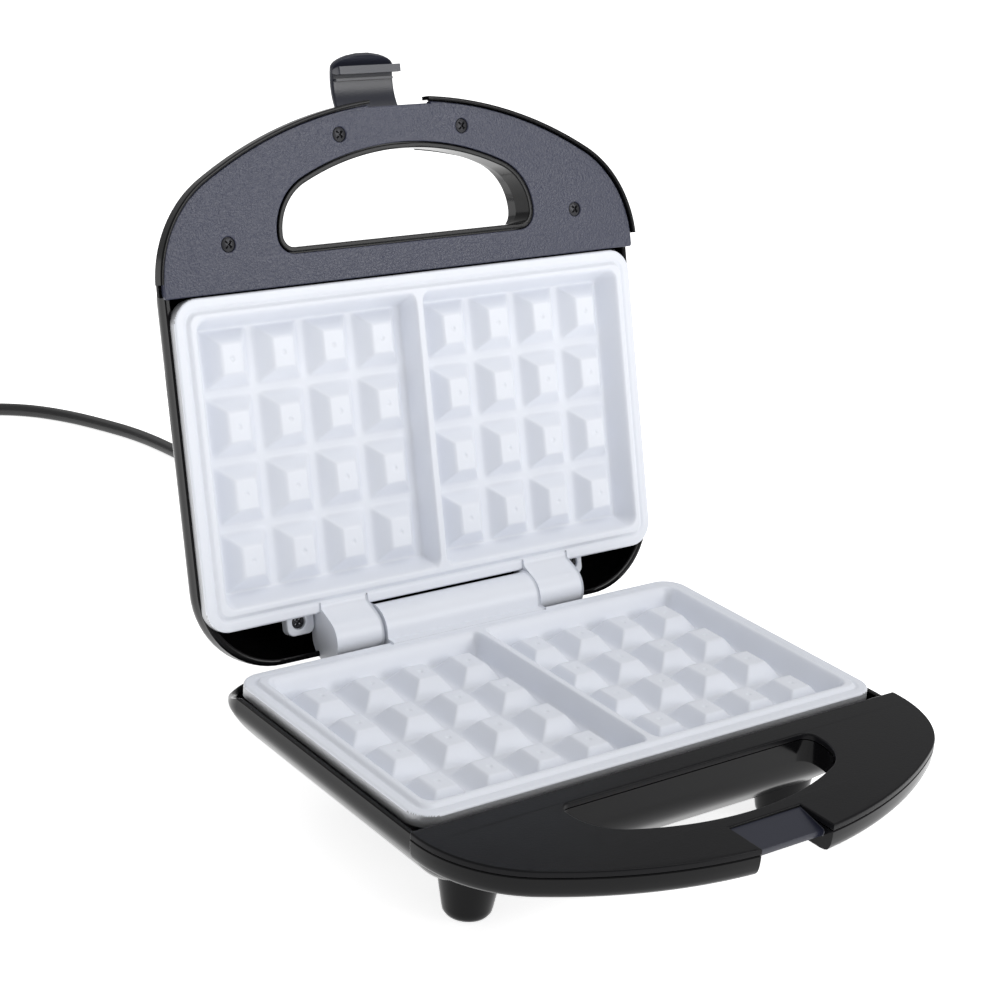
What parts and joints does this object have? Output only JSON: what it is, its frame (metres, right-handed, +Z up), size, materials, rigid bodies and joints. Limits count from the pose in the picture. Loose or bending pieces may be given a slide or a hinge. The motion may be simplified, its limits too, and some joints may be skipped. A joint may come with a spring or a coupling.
{
  "type": "waffle maker",
  "caption": "Clamshell waffle maker with white grid plates, black shells, D-shaped hand-hole handles, thumb latch and mains lead, lid open",
  "frame": {"origin": "on the table, under the middle of the object's box without its cord", "axes": "+X to the right seen from the handle side, +Y to the rear (hinge), +Z up"},
  "size_m": [0.2445, 0.6793, 0.2724],
  "materials": {
    "black_shell": "polished black",
    "cover_black": "fine-grained black",
    "white_coating": "satin ceramic coating on cast aluminium",
    "black_screw": "black phosphate",
    "steel": "plain",
    "sheet_metal": "plain sheet",
    "element_sheath": "dark annealed",
    "control_body": "ceramic-coloured",
    "wire_sleeve": "glass-fibre sleeve",
    "red_lens": "clear red",
    "green_lens": "clear green",
    "neon": "clear",
    "cord_rubber": "smooth black",
    "brass": "bare"
  },
  "bodies": {
    "base": {"lower_housing": "black_shell", "lower_handle_cover": "cover_black", "lower_plate": "white_coating", "lower_plate_screws": "steel", "lower_handle_screws": "black_screw", "hinge_pin": "steel", "lower_reflector": "sheet_metal", "lower_heating_element": "element_sheath", "lower_thermostat": "control_body", "thermal_fuse": "control_body", "terminal_block": "control_body", "lower_wiring": "wire_sleeve", "cord_strain_relief": "cord_rubber", "power_cord": "cord_rubber", "power_cord_tail": "cord_rubber", "cord_coil": "cord_rubber", "plug_body": "cord_rubber", "plug_pins": "brass"},
    "lid": {"upper_housing": "black_shell", "upper_handle_cover": "cover_black", "upper_plate": "white_coating", "handle_cover_screws": "black_screw", "hinge_tab_screws": "black_screw", "latch_pin": "steel", "upper_reflector": "sheet_metal", "upper_heating_element": "element_sheath", "upper_thermostat": "control_body", "power_lamp_lens": "red_lens", "ready_lamp_lens": "green_lens", "neon_lamps": "neon", "upper_wiring": "wire_sleeve"},
    "latch": {"latch": "black_shell"}
  },
  "joints": [
    {"name": "lid_hinge", "type": "hinge", "parent": "base", "child": "lid", "pos_m": [0, 0.06515, 0.0547], "axis": [1, 0, 0], "range_deg": [0, 105.2]},
    {"name": "latch_pivot", "type": "hinge", "parent": "lid", "child": "latch", "pos_m": [0, 0.13004, 0.24587], "axis": [1, 0, 0], "range_deg": [0, 90]}
  ]
}
